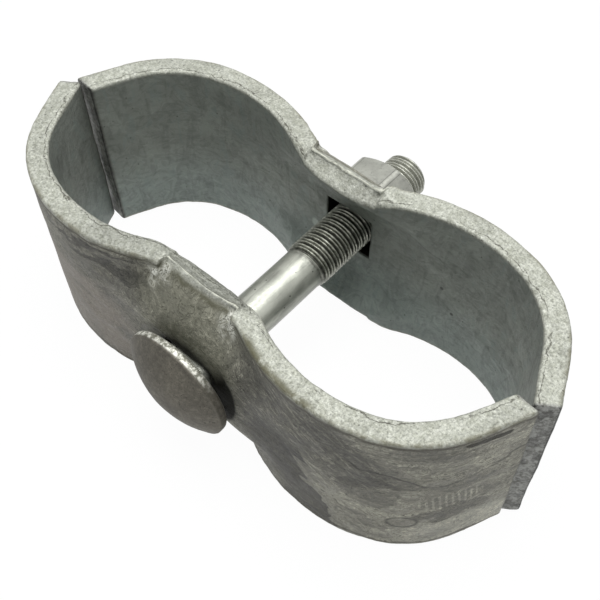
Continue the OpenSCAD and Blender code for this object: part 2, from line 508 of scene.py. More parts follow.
def roughen_saddle(obj, seed, masks, strap, front):
    """Moves the surface by the zinc's waves, lumps and runs, and returns where the runs are."""
    p = places_of(obj)
    n = read_points(obj, "normal")
    lift = 0.10 * fractal(p, 11.0, seed) + 0.04 * fractal(strap / [1.8, 1, 1], 2.4, seed + 7)
    lift += masks["edge"] * 0.05 * fractal(p, 1.3, seed + 13)
    lift -= masks["sheared"] * 0.08 * (1 + fractal(p * [1, 1, 0.35], 1.5, seed + 19))

    # Rough zinc runs at the corners of the boss's lips, and a raised bead along each lip
    along, height, depth = strap.T
    outside = smooth_step(-0.6, 1.2, depth)
    drip = np.zeros(len(p))
    for middle in (-BOSS_W / 2, BOSS_W / 2):
        apart = ((along - middle) / RUN_HALF[0]) ** 2
        apart = apart + ((np.abs(height) - RUN_HEIGHT) / RUN_HALF[1]) ** 2
        drip += np.exp(-apart) * outside
    rough = 0.5 + 0.9 * fractal(p, 1.1, seed + 29)
    bead = (np.abs(along) < BOSS_W / 2) * smooth_step(0.9, 0.1, np.abs(np.abs(height) - BEAD_HEIGHT))
    bead = bead * outside * (0.5 + 0.5 * fractal(p, 3.0, seed + 31))
    if not front:
        from_blob = along - BOSS_W / 2 + 0.5
        apart = (from_blob / BLOB_HALF[0]) ** 2 + ((depth - BLOB_DEPTH) / BLOB_HALF[1]) ** 2
        blob = np.exp(-apart) * smooth_step(18.2, 18.8, height)
        lift += BLOB_LIFT * blob
        drip += 0.4 * blob
    lift += RUN_LIFT * drip * rough + BEAD_LIFT * bead
    set_places(obj, p + n * lift[:, None])
    return np.clip(1.5 * drip * rough + 0.3 * bead, 0, 1)


# Turned pieces

def round_angles(columns):
    return np.arange(columns) * 2 * math.pi / columns


def turned_rings(rows, angle):
    """Points about the Y axis for rows of (y, radius), the radius being one number or one an angle."""
    rings = []
    for y, radius in rows:
        r = np.broadcast_to(radius, angle.shape)
        rings.append(np.stack([r * np.cos(angle), np.full(len(angle), y), r * np.sin(angle)], axis=1))
    return np.concatenate(rings)


def spun(rows, angle, name):
    """A closed mesh from rows of (y, radius) about the Y axis, capped at both ends."""
    columns = len(angle)
    tips = [[0, rows[0][0], 0], [0, rows[-1][0], 0]]
    places = np.concatenate([turned_rings(rows, angle), tips])
    first_tip = len(rows) * columns
    last_row = first_tip - columns
    around = [(c, (c + 1) % columns) for c in range(columns)]
    head = [(first_tip, after, c) for c, after in around]
    tail = [(first_tip + 1, last_row + c, last_row + after) for c, after in around]
    return make_object(name, places, ring_quads(len(rows), columns), head + tail)


def thread_radius(y, angle):
    """Radius of the rolled thread, with a seam along its crest, at a place along the bolt."""
    phase = (y / PITCH + angle / (2 * math.pi)) % 1.0
    tooth = 0.5 + 0.5 * np.cos(2 * math.pi * phase)
    tooth = smooth_step(0.02, 0.50, tooth)
    from_crest = np.minimum(phase, 1 - phase)
    tooth = tooth - SEAM_DEPTH * np.exp(-((from_crest / SEAM_HALF) ** 2))
    crest = THREAD_D / 2
    root = crest - THREAD_DEPTH
    turned = root + (crest - root) * tooth
    shank = SHANK_D / 2
    fade = smooth_step(THREAD_START - 0.3, THREAD_START + 1.1 * PITCH, y)
    radius = shank + (turned - shank) * fade
    cone = crest - TIP_CHAMFER + np.clip(TIP - y, 0, None)
    return soft_min(radius, cone, 0.25)


def head_rows():
    """Rows of the domed head: the dome from its crown, the rim, its bevel and the underside."""
    head_r = HEAD_D / 2
    dome_h = HEAD_H - RIM_H
    dome_r = (head_r**2 + dome_h**2) / (2 * dome_h)
    dome_rings = 44
    rows = []
    for k in range(1, dome_rings + 1):
        r = (head_r - RIM_ROUND) * k / dome_rings
        rows.append((UNDER_HEAD - HEAD_H + dome_r - math.sqrt(dome_r**2 - r**2), r))
    rim_top = rows[-1][0]
    for k in range(1, 5):
        turn = math.pi / 2 * k / 4
        r = head_r - RIM_ROUND * (1 - math.sin(turn))
        rows.append((rim_top + RIM_ROUND * (1 - math.cos(turn)), r))
    side_top = rim_top + RIM_ROUND
    side_low = UNDER_HEAD - RIM_BEVEL
    for k in range(1, 7):
        rows.append((side_top + (side_low - side_top) * k / 6, head_r))
    for k in range(1, 8):
        turn = math.pi / 2 * k / 7
        r = head_r - RIM_BEVEL * (1 - math.cos(turn))
        rows.append((side_low + RIM_BEVEL * math.sin(turn), r))
    under_r = head_r - RIM_BEVEL
    for k in range(1, 12):
        rows.append((UNDER_HEAD, under_r - (under_r - NECK_W * 0.75) * k / 11))
    return rows


def neck_rows(angle):
    """Rows of the square neck with rolled corners, and of its shoulder."""
    square = NECK_W / 2 / np.maximum(np.abs(np.cos(angle)), np.abs(np.sin(angle)))
    square = soft_min(square, NECK_W / 2 * NECK_CORNER + 0 * square, 0.5)
    shoulder_at = UNDER_HEAD + NECK_LEN - SHOULDER
    rows = [(UNDER_HEAD + (NECK_LEN - SHOULDER) * k / 13, square) for k in range(14)]
    for k in range(1, 7):
        t = k / 6
        rows.append((shoulder_at + SHOULDER * t, square + (SHANK_D / 2 - square) * t**1.6))
    return rows


def shaft_rows(angle):
    """Rows of the plain shank, the thread and the flat tip."""
    shank_from = UNDER_HEAD + NECK_LEN + 0.3
    tip_r = THREAD_D / 2 - TIP_CHAMFER
    rows = [(y, SHANK_D / 2) for y in np.arange(shank_from, THREAD_START - 0.5, 0.45)]
    for y in np.arange(THREAD_START - 0.4, TIP - 0.01, PITCH / 20):
        rows.append((y, thread_radius(y, angle)))
    return rows + [(TIP, tip_r * (1 - k / 9)) for k in range(1, 9)]


def carriage_bolt(name):
    """Domed head, square neck, plain shank and helical thread as one skin."""
    angle = round_angles(120)
    obj = spun(head_rows() + neck_rows(angle) + shaft_rows(angle), angle, name)
    p = places_of(obj)
    n = read_points(obj, "normal")
    y = p[:, 1]
    on_head = smooth_step(UNDER_HEAD + 0.2, UNDER_HEAD - 0.4, y)
    on_thread = smooth_step(THREAD_START - 1, THREAD_START + 1, y)
    lift = on_head * (0.07 * fractal(p, 7.0, 41) + 0.02 * fractal(p, 1.6, 43))
    lift += on_thread * 0.035 * fractal(p, 1.1, 47)
    lift += (1 - on_head) * (1 - on_thread) * 0.012 * fractal(p, 1.6, 53)
    set_places(obj, p + n * lift[:, None])

    # The head's rim, from just below the dome, and the thread's crests, which get painted highlights
    r = np.hypot(p[:, 0], p[:, 2])
    rim_top = UNDER_HEAD - RIM_H
    on_rim = on_head * smooth_step(HEAD_D / 2 - 0.9, HEAD_D / 2 - 0.4, r)
    crest = smooth_step(THREAD_D / 2 - 0.50, THREAD_D / 2 - 0.08, r)
    on_rim = on_rim * smooth_step(rim_top + 0.1, rim_top + 0.5, y)
    set_masks(obj, head=on_head, thread=on_thread, rim=on_rim, crest=crest * on_thread)
    return obj


def hex_nut(name):
    """Chamfered hexagon with a threaded bore, as one closed skin."""
    angle = round_angles(180)
    columns = len(angle)
    flats = [math.pi / 6 + NUT_TURN + k * math.pi / 3 for k in range(6)]
    facing = np.max([np.cos(angle - f) for f in flats], axis=0)
    power = 26.0
    round_corner = np.sum([np.clip(np.cos(angle - f), 0.0, 1) ** power for f in flats], axis=0)
    hexagon = NUT_AF / 2 / np.maximum(facing, round_corner ** (1 / power))
    face_r = NUT_AF / 2 / math.cos(math.pi / 6) - NUT_CHAMFER
    slope = math.tan(math.radians(30))
    low, high = SEAT, SEAT + NUT_T
    bore = THREAD_D / 2 + THREAD_FIT
    mouth = bore + 0.45

    # Down the outside, in along the top, down the bore and out along the seat
    rows = []
    for k in range(34):
        y = low + (high - low) * (1 - math.cos(math.pi * k / 33)) / 2
        cone = face_r + np.minimum(y - low, high - y) / slope
        rows.append((y, soft_min(hexagon, cone + 0 * hexagon, 0.25)))
    rows += [(high, face_r + (mouth - face_r) * k / 11) for k in range(1, 12)]
    for y in np.arange(high - 0.3, low + 0.3, -PITCH / 9):
        rows.append((y, thread_radius(y, angle) + THREAD_FIT + 0.02))
    rows += [(low, mouth + (face_r - mouth) * k / 11) for k in range(1, 12)]
    quads = ring_quads(len(rows) + 1, columns) % (len(rows) * columns)
    obj = make_object(name, turned_rings(rows, angle), quads)

    p = places_of(obj)
    outside = smooth_step(bore + 0.1, bore + 0.6, np.hypot(p[:, 0], p[:, 2]))
    seated = smooth_step(low, low + 0.4, p[:, 1])
    lift = outside * seated * (0.05 * fractal(p, 4.0, 61) + 0.02 * fractal(p, 1.2, 67))
    set_places(obj, p + read_points(obj, "normal") * lift[:, None])
    around = np.arctan2(p[:, 2], p[:, 0])
    turned_away = np.max([np.cos(around - f) for f in flats], axis=0)
    corner = smooth_step(0.905, 0.885, turned_away) * outside
    set_masks(obj, bore=1 - outside, corner=corner)
    return obj


# Materials

# Radius of the painted shadow about the bolt
PAINTED_SHADOW_R = 11.6


class Nodes:
    """A small helper that adds and joins the nodes of a new material, or of a world."""

    def __init__(self, name, world=False):
        self.owner = (bpy.data.worlds if world else bpy.data.materials).new(name)
        self.owner.use_nodes = True
        self.tree = self.owner.node_tree
        self.tree.nodes.clear()

    @cached_property
    def place(self):
        """The object's own coordinates in millimetres."""
        return self.scaled(self.add("ShaderNodeTexCoord").outputs["Object"], (1 / MM,) * 3)

    def surface(self, shader, kind="Material"):
        """Ends the tree with a shader, and returns the material or world."""
        self.add("ShaderNodeOutput" + kind, Surface=shader.outputs[0])
        return self.owner

    def add(self, kind, settings=None, **sockets):
        """A node with its settings, then its sockets, underscores standing for blanks in their names."""
        node = self.tree.nodes.new(kind)
        for key, value in (settings or {}).items():
            setattr(node, key, value)
        for name, value in sockets.items():
            self.give(node.inputs[name.replace("_", " ")], value)
        return node

    def give(self, target, value):
        """Sets a socket's constant, or joins another node's output to it."""
        if hasattr(value, "is_output"):
            self.tree.links.new(value, target)
        else:
            target.default_value = value

    def attribute(self, name, output="Fac"):
        return self.add("ShaderNodeAttribute", {"attribute_name": name}).outputs[output]

    def axes(self, vector):
        return self.add("ShaderNodeSeparateXYZ", Vector=vector).outputs

    def scaled(self, vector, scale, shift=0.0):
        """A vector stretched along its axes and moved."""
        move = (shift, shift * 1.7, shift * 0.6)
        return self.add("ShaderNodeMapping", Vector=vector, Scale=scale, Location=move).outputs[0]

    def turned(self, vector, degrees):
        """A vector turned about its third axis."""
        turn = (0.0, 0.0, math.radians(degrees))
        return self.add("ShaderNodeMapping", Vector=vector, Rotation=turn).outputs[0]

    def noise(self, size, detail=4.0, roughness=0.6, distortion=0.0, shift=0.0, on=None):
        """Noise from about 0.3 to 0.7; size in mm, one number or one for each axis."""
        sizes = size if isinstance(size, tuple) else (size,) * 3
        return self.add(
            "ShaderNodeTexNoise",
            Vector=self.scaled(on or self.place, [1 / k for k in sizes], shift),
            Scale=1.0,
            Detail=detail,
            Roughness=roughness,
            Distortion=distortion,
        ).outputs["Fac"]

    def spots(self, spacing, radius, shift=0.0):
        """1 inside small round spots about spacing apart, 0 elsewhere."""
        vector = self.scaled(self.place, (1 / spacing,) * 3, shift)
        apart = self.add("ShaderNodeTexVoronoi", Vector=vector, Scale=1.0).outputs["Distance"]
        edge = radius / spacing
        return self.ramp(apart, edge * 1.3, edge * 0.7)

    def ramp(self, value, low, high, out_low=0.0, out_high=1.0):
        """A value taken smoothly from one range to another."""
        return self.add(
            "ShaderNodeMapRange",
            {"interpolation_type": "SMOOTHSTEP"},
            Value=value,
            From_Min=low,
            From_Max=high,
            To_Min=out_low,
            To_Max=out_high,
        ).outputs["Result"]

    def math(self, operation, a, b=0.0):
        node = self.add("ShaderNodeMath", {"operation": operation})
        self.give(node.inputs[0], a)
        self.give(node.inputs[1], b)
        return node.outputs[0]

    def joined(self, operation, values):
        total = values[0]
        for value in values[1:]:
            total = self.math(operation, total, value)
        return total

    def times(self, *values):
        return self.joined("MULTIPLY", values)

    def plus(self, *values):
        return self.joined("ADD", values)

    def ridge(self, value, level, width):
        """1 where a value is at a level, falling to 0 over a width on each side."""
        apart = self.math("ABSOLUTE", self.math("SUBTRACT", value, level))
        return self.ramp(apart, width, 0.0)

    def contours(self, value, count, width):
        """Thin lines where a noise crosses evenly spaced levels."""
        cycle = self.math("FRACT", self.math("MULTIPLY", value, count))
        return self.ridge(cycle, 0.5, width)

    def mix(self, factor, a, b, blend="MIX"):
        settings = {"data_type": "RGBA", "blend_type": blend}
        return self.add("ShaderNodeMix", settings, Factor=factor, A=a, B=b).outputs["Result"]

    def shade(self, colour, factor, gain):
        """A colour brought nearer to itself times gain as it is displayed, by a factor."""
        return self.mix(factor, colour, (gain**2.2,) * 3 + (1.0,), "MULTIPLY")

    def shades(self, colour, *steps):
        """A colour shaded by several factors and gains in turn."""
        for factor, gain in steps:
            colour = self.shade(colour, factor, gain)
        return colour

    def bump(self, height, strength, distance, under=None):
        node = self.add("ShaderNodeBump", Height=height, Strength=strength, Distance=distance * MM)
        if under is not None:
            self.give(node.inputs["Normal"], under)
        return node.outputs["Normal"]


def tone(red, green, blue):
    """A colour from display values of 0 to 255."""
    return tuple((v / 255) ** 2.2 for v in (red, green, blue)) + (1.0,)


def strap_axes(n):
    """Length along the strap, height and depth, each in millimetres from its middle."""
    vector = n.attribute("strap", "Vector")
    return (vector, *n.axes(vector))


def round_mark(n, axes, at, half):
    """Distance from a mark's middle, 1 at its half-length along the strap and half-height."""
    a, b = (n.math("DIVIDE", n.plus(x, -m), h) for x, m, h in zip(axes[1:3], at, half))
    return n.math("SQRT", n.plus(n.times(a, a), n.times(b, b)))


def raised(n, axes, waver, lift):
    """The strap's axes with the height wavering by up to lift."""
    strap, along, height, depth = axes
    return strap, along, n.plus(height, n.times(waver, lift)), depth


def stroke_field(n, colour, axes):
    """Pale strokes that fall away from the boss, on a dark ground."""
    strokes = n.noise((5.0, 1.7, 3.0), detail=5, distortion=1.9, shift=4.0, on=n.turned(axes[0], -38.0))
    field = n.ramp(round_mark(n, axes, at=(-27.0, 8.0), half=(16.0, 11.0)), 1.05, 0.7)
    colour = n.shade(colour, field, 0.76)
    return n.shade(colour, n.times(field, n.ramp(strokes, 0.53, 0.58)), 1.30)


def light_patch(n, colour, axes, waver):
    """A light patch with a sharp border, dark ground beside it, dark pools and a light foot."""
    _, along, height, _ = axes
    border = n.plus(along, n.times(height, -0.45), n.times(waver, 3.0))
    border_at = -26.4
    low = n.ramp(height, 5.0, 1.0)
    ground = n.ramp(border, border_at - 0.1, border_at + 0.3)
    ground = n.times(ground, low, n.ramp(border, -10.0, -20.0))
    patch = n.ramp(border, border_at + 0.1, border_at - 0.4)
    patch = n.times(patch, low, n.ramp(along, -60.0, -44.0))
    colour = n.shades(
        colour,
        (ground, 0.66),
        (patch, 1.18),
        (n.times(n.ridge(border, border_at, 0.6), low), 0.72),
    )
    wavy = raised(n, axes, waver, 2.5)
    for at, half in (((-38.5, 1.5), (5.5, 4.2)), ((-52.0, -6.5), (7.0, 2.6))):
        colour = n.shade(colour, n.ramp(round_mark(n, wavy, at, half), 1.0, 0.88), 0.80)
    foot = n.times(n.ramp(wavy[2], -8.0, -11.5), n.ramp(along, -43.0, -50.0))
    colour = n.shade(colour, foot, 1.30)
    colour = n.mix(n.times(foot, 0.35), colour, tone(150, 150, 143))
    return n.shade(colour, n.ramp(along, -50.0, -62.0), 1.15)


def tide_line(n, colour, axes, waver):
    """A line that falls and rises again, a paler field above it, and streaks along the upper edge."""
    strap, along, height, _ = axes
    lowest_at = -50.0
    line_at = 4.4
    from_lowest = n.math("ABSOLUTE", n.plus(along, -lowest_at))
    fall = n.plus(height, n.times(from_lowest, -0.35), n.times(waver, 1.4))
    reach = n.ramp(along, -33.0, -37.0)
    streaks = n.noise((22.0, 0.9, 3.0), detail=4, distortion=0.3, shift=2.0, on=strap)
    band = n.times(n.ramp(height, 8.0, 12.0), reach)
    return n.shades(
        colour,
        (n.times(n.ridge(fall, line_at, 0.45), reach), 0.66),
        (n.times(n.ramp(fall, line_at, line_at + 0.4), reach), 1.09),
        (n.times(band, n.ramp(streaks, 0.50, 0.58)), 0.86),
    )


def ring_and_ribs(n, colour, axes, wobble):
    """A small ring and a row of short upright ribs."""
    _, along, height, _ = axes
    ring = round_mark(n, axes, at=(-44.4, -8.8), half=(2.3, 1.9))
    colour = n.shade(colour, n.ridge(ring, 1.0, 0.22), 0.62)
    lean = n.plus(along, n.times(height, -0.12))
    bars = n.ramp(n.math("SINE", n.times(lean, 6.2)), 0.0, 0.8)
    inside = n.ramp(round_mark(n, axes, at=(-51.5, -1.8), half=(5.8, 3.0)), 1.05, 0.75)
    colour = n.shade(colour, n.times(inside, n.ramp(height, 1.5, 0.5)), 0.90)
    return n.shade(colour, n.times(bars, inside, n.ramp(wobble, 0.34, 0.46)), 1.26)


def flake_and_waves(n, colour, axes, waver, wobble):
    """A dark flake under the edge, dark waves beside the boss and a warmer tint below them."""
    _, along, height, _ = axes
    flake = round_mark(n, raised(n, axes, waver, 1.2), at=(-55.0, 17.2), half=(3.8, 1.0))
    colour = n.mix(n.ramp(flake, 1.05, 0.9), colour, tone(44, 42, 30))
    strap, _, wavy, depth = raised(n, axes, waver, 2.5)
    rise = n.plus(wavy, n.times(n.math("SINE", n.times(along, 0.55)), 0.8))
    for at, half in (((18.0, 12.3), (9.5, 1.5)), ((24.0, 15.6), (10.0, 0.8))):
        wave = round_mark(n, (strap, along, rise, depth), at, half)
        inside = n.ramp(wave, 1.15, 0.75)
        colour = n.shade(colour, inside, 0.70)
        colour = n.shade(colour, n.times(inside, n.contours(wave, 2.6, 0.16)), 0.62)
    warm = n.times(n.ramp(along, 10.0, 22.0), n.ramp(height, 9.0, 2.0), n.ramp(wobble, 0.35, 0.6))
    return n.mix(n.times(warm, 0.5), colour, tone(146, 136, 128))


def near_marks(n, colour, axes, wobble):
    """The marks on the near saddle's outer face, from the boss out to each end."""
    waver = n.ramp(wobble, 0.25, 0.75, -1.0, 1.0)
    colour = stroke_field(n, colour, axes)
    colour = light_patch(n, colour, axes, waver)
    colour = tide_line(n, colour, axes, waver)
    colour = ring_and_ribs(n, colour, axes, wobble)
    return flake_and_waves(n, colour, axes, waver, wobble)


def far_marks(n, colour, axes, wobble):
    """Marks inside the far saddle: a curved line, a pale blob and two dark specks."""
    _, along, height, depth = axes
    inside = n.ramp(depth, 0.5, -0.5)
    slope = n.times(n.plus(along, -21.0), 0.45)
    sag = n.plus(height, slope, n.ramp(wobble, 0.3, 0.7, -1.2, 1.2))
    reach = n.times(n.ramp(along, 8.0, 10.0), n.ramp(along, 24.0, 20.0))
    colour = n.shade(colour, n.times(n.ridge(sag, 7.0, 0.45), reach, inside), 0.80)
    blob = n.ramp(round_mark(n, axes, at=(-9.4, -5.0), half=(1.1, 1.6)), 1.1, 0.5)
    colour = n.shade(colour, n.times(blob, inside), 1.3)
    for at in ((21.6, -0.2), (24.8, -5.8)):
        speck = n.ramp(round_mark(n, axes, at, half=(0.5, 0.5)), 1.0, 0.5)
        colour = n.shade(colour, n.times(speck, inside), 0.6)
    return colour


def strap_noises(n, strap, shift):
    """The noises that a saddle's colours and relief share."""
    def drawn(size, by, **settings):
        return n.noise(size, shift=shift + by, on=strap, **settings)

    swirl = drawn((4.6, 3.2, 3), 6, detail=2.5, roughness=0.5, distortion=3.4)
    curl = drawn((2.3, 1.7, 2), 9, detail=2, roughness=0.5, distortion=2.6)
    return SimpleNamespace(
        wide=drawn((15, 9, 8), 0, detail=4, roughness=0.55, distortion=0.9),
        cloud=drawn((6.0, 3.6, 4), 3, detail=7, roughness=0.64, distortion=1.5),
        stain=drawn((3.2, 9.0, 3.0), 15, detail=3, distortion=1.4),
        streak=drawn((9.0, 3.0, 0.6), 12, detail=4, distortion=0.4),
        swirl=swirl,
        curl=curl,
        lines=n.contours(swirl, 3.6, 0.13),
        curls=n.contours(curl, 2.6, 0.15),
        grain=n.noise(0.9, detail=5, roughness=0.72, shift=shift + 5),
        fine=n.noise(0.38, detail=3, roughness=0.75, shift=shift + 8),
        blotch=n.noise(3, detail=3, shift=shift + 11),
        pits=n.spots(1.5, 0.17, shift + 2),
        specks=n.spots(2.9, 0.16, shift),
    )


def outer_face(n, colour, axes, z, near):
    """Outer face: broad mottling, sharp-edged stains, thin dark veins, fine curls and a line of painted
    shade below each edge.
    """
    _, along, height, _ = axes
    about_boss = n.ramp(n.math("ABSOLUTE", along), 24.0, 10.0)
    curls = n.times(z.curls, n.ramp(about_boss, 0.0, 1.0, 0.3, 1.0))
    pale = n.times(n.contours(z.curl, 4.1, 0.13), n.ramp(z.wide, 0.40, 0.56))
    pale = n.times(pale, n.ramp(about_boss, 0.0, 1.0, 0.4, 1.0))
    colour = n.shades(
        colour,
        (n.ramp(z.wide, 0.38, 0.60), 1.15),
        (n.ramp(z.cloud, 0.44, 0.58), 1.19),
        (n.ramp(z.swirl, 0.53, 0.55), 0.87),
        (n.times(z.lines, n.ramp(z.cloud, 0.40, 0.52)), 0.62),
        (curls, 0.52),
        (pale, 1.42),
        (n.ramp(z.grain, 0.47, 0.72, 0.0, 0.9), 1.24),
        (n.ramp(z.fine, 0.47, 0.33, 0.0, 0.9), 0.80),
    )
    if near:
        colour = near_marks(n, colour, axes, z.wide)
    # A dark line painted just below each edge: painted shade under the edge's rounding
    from_middle = n.math("ABSOLUTE", height)
    near_edge = n.math("SUBTRACT", from_middle, n.ramp(z.cloud, 0.3, 0.7, -0.4, 0.4))
    return n.mix(n.times(n.ridge(near_edge, 17.9, 0.65), 0.85), colour, tone(62, 60, 46))


def inner_face(n, colour, axes, z, near):
    """Inner face: smoother and cooler, bluer towards the foot."""
    height = axes[2]
    veins = n.times(n.contours(z.swirl, 2.2, 0.06), n.ramp(z.cloud, 0.5, 0.6))
    colour = n.shade(colour, n.ramp(z.wide, 0.38, 0.64), 1.08)
    colour = n.mix(n.ramp(height, 2.0, -14.0, 0.0, 0.55), colour, tone(150, 162, 158))
    colour = n.shades(
        colour,
        (n.ramp(z.swirl, 0.52, 0.56, 0.0, 0.8), 0.92),
        (n.ramp(z.grain, 0.48, 0.75, 0.0, 0.6), 1.10),
        (n.ramp(z.stain, 0.50, 0.62), 0.92),
    )
    colour = n.mix(n.ramp(z.stain, 0.44, 0.34, 0.0, 0.25), colour, tone(122, 138, 134))
    colour = n.shade(colour, veins, 0.90)
    return colour if near else far_marks(n, colour, axes, z.wide)


def painted_shadow_about_bolt(n, axes):
    """Where the boss is painted black as the head's shadow: under the bolt's head and in a crescent
    beside it.
    """
    _, along, height, depth = axes
    outside = n.ramp(depth, 0.5, 1.5)
    around = round_mark(n, axes, at=(-HOLE_OFFSET, 0.0), half=(PAINTED_SHADOW_R, PAINTED_SHADOW_R))
    beside = n.ramp(n.plus(n.times(along, -0.8), n.times(height, -0.6)), 1.0, 5.0)
    crescent = n.times(n.ramp(around, 1.06, 0.96), outside, beside)
    return n.math("MAXIMUM", crescent, n.times(n.ramp(around, 0.80, 0.60), outside))


def rough_zinc(n, z):
    """Bright crinkled zinc at the corners of the boss's lips."""
    colour = n.mix(n.contours(z.curl, 5.0, 0.3), tone(236, 237, 226), tone(96, 96, 82))
    return n.shade(colour, n.ramp(z.grain, 0.5, 0.35), 0.75)


def sheared_edge(n, axes, z, near):
    """Sheared edge: light grain, dark pits, a crack along the inner side, and the drawn lips. Its light
    tone is partly the zinc's own, partly painted light.
    """
    _, along, _, depth = axes
    drawn = n.ramp(n.math("ABSOLUTE", along), BOSS_W / 2 + 0.6, BOSS_W / 2 - 0.6)
    undrawn = n.ramp(drawn, 1.0, 0.0)
    # The edge's light tone is partly the zinc's own, partly painted light
    rim = n.mix(n.ramp(z.grain, 0.34, 0.66), tone(164, 166, 153), tone(198, 200, 189))
    rim = n.shades(
        rim,
        (n.ramp(z.fine, 0.52, 0.62, 0.0, 0.9), 0.80),
        (n.ramp(z.fine, 0.46, 0.38, 0.0, 0.9), 1.12),
        (n.times(z.pits, n.ramp(z.wide, 0.45, 0.55)), 0.66),
        (n.ramp(z.wide, 0.50, 0.62, 0.0, 0.7), 0.92),
    )
    crack = n.plus(depth, n.ramp(z.cloud, 0.3, 0.7, -0.45, 0.45))
    crack = n.times(n.ridge(crack, -1.35, 0.14), n.ramp(z.wide, 0.40, 0.46))
    if not near:
        crack = n.times(crack, undrawn)
    rim = n.mix(n.times(crack, 0.9), rim, tone(58, 56, 46))
    brown = n.times(n.ramp(depth, 1.2, 2.0), n.ramp(z.cloud, 0.40, 0.60), n.times(undrawn, 0.65))
    rim = n.mix(brown, rim, tone(118, 114, 92))

    # Soot on the near edge beyond the boss, and a duller stretch on its other side
    if near:
        soot = n.times(n.ramp(along, -12.0, -15.0), n.ramp(along, -34.0, -27.0))
        soot = n.times(soot, n.ramp(depth, 0.4, 1.6), n.ramp(z.cloud, 0.36, 0.50, 0.3, 0.85))
        rim = n.mix(soot, rim, tone(92, 90, 68))
        rim = n.shade(rim, n.times(n.ramp(along, 8.0, 10.0), n.ramp(along, 30.0, 20.0)), 0.90)

    # Between the lips the edge is drawn thin, with a bright bead and a dark line along each lip
    dull_lip = 0.80 if near else 0.95
    rim = n.shade(rim, n.times(drawn, n.ramp(z.streak, 0.40, 0.60, 0.35, 1.0)), dull_lip)
    along_lip = n.plus(depth, n.ramp(z.cloud, 0.3, 0.7, -0.25, 0.25))
    rim = n.mix(n.times(n.ridge(along_lip, 1.0, 0.28), drawn, 0.4), rim, tone(46, 46, 36))
    return n.mix(n.times(n.ridge(along_lip, 1.6, 0.34), drawn, 0.9), rim, tone(226, 227, 212))


def sheared_end(n, axes, z):
    """Sheared end: blotched grey, darker towards the faces."""
    _, along, _, depth = axes
    colour = n.mix(n.ramp(z.grain, 0.36, 0.62), tone(118, 118, 112), tone(186, 187, 182))
    return n.shades(
        colour,
        (n.ramp(z.blotch, 0.52, 0.56), 0.82),
        (n.ramp(along, 20.0, -20.0), 0.84),
        (n.ramp(n.math("ABSOLUTE", depth), 1.3, 2.0), 0.62),
    )


def zinc_strap(name, outer, inner, shift, near):
    """Dull mottled galvanising: marbled dark faces, light grained edges. The faces' dark and the edges'
    light are partly the zinc's own tones, partly painted shade and painted light.
    """
    n = Nodes(name)
    axes = strap_axes(n)
    z = strap_noises(n, axes[0], shift)
    face = outer_face(n, outer, axes, z, near)
    back = inner_face(n, inner, axes, z, near)
    painted_shadow = painted_shadow_about_bolt(n, axes)
    colour = n.mix(n.attribute("inner"), face, back)
    colour = n.mix(n.times(z.specks, 0.75), colour, tone(48, 50, 46))
    colour = n.mix(n.times(n.attribute("boss"), 0.22), colour, tone(150, 151, 126))
    # Painted shadow, nearly black, under the bolt's head and in a crescent beside it
    colour = n.mix(n.times(painted_shadow, 0.95), colour, tone(24, 24, 19))
    colour = n.mix(n.attribute("drip"), colour, rough_zinc(n, z))
    colour = n.mix(n.attribute("edge"), colour, sheared_edge(n, axes, z, near))
    colour = n.mix(n.attribute("sheared"), colour, sheared_end(n, axes, z))
    # The hole's walls painted nearly black: painted shade inside the hole
    colour = n.mix(n.attribute("wall"), colour, tone(34, 34, 28))

    # The painted shadow about the bolt and the hole's walls, painted dark as shade, don't shine
    dull = n.math("MAXIMUM", painted_shadow, n.attribute("wall"))
    normal = n.bump(z.cloud, 0.55, 0.5)
    normal = n.bump(n.plus(z.lines, z.curls), 0.3, -0.14, normal)
    normal = n.bump(z.grain, 0.55, 0.16, normal)
    return n.surface(n.add(
        "ShaderNodeBsdfPrincipled",
        Base_Color=colour,
        Metallic=n.ramp(dull, 0.0, 1.0, 0.3, 0.0),
        Specular_IOR_Level=n.ramp(dull, 0.0, 1.0, 0.5, 0.05),
        Roughness=n.ramp(z.cloud, 0.3, 0.7, 0.48, 0.66),
        Normal=n.bump(z.fine, 0.4, 0.07, normal),
    ))


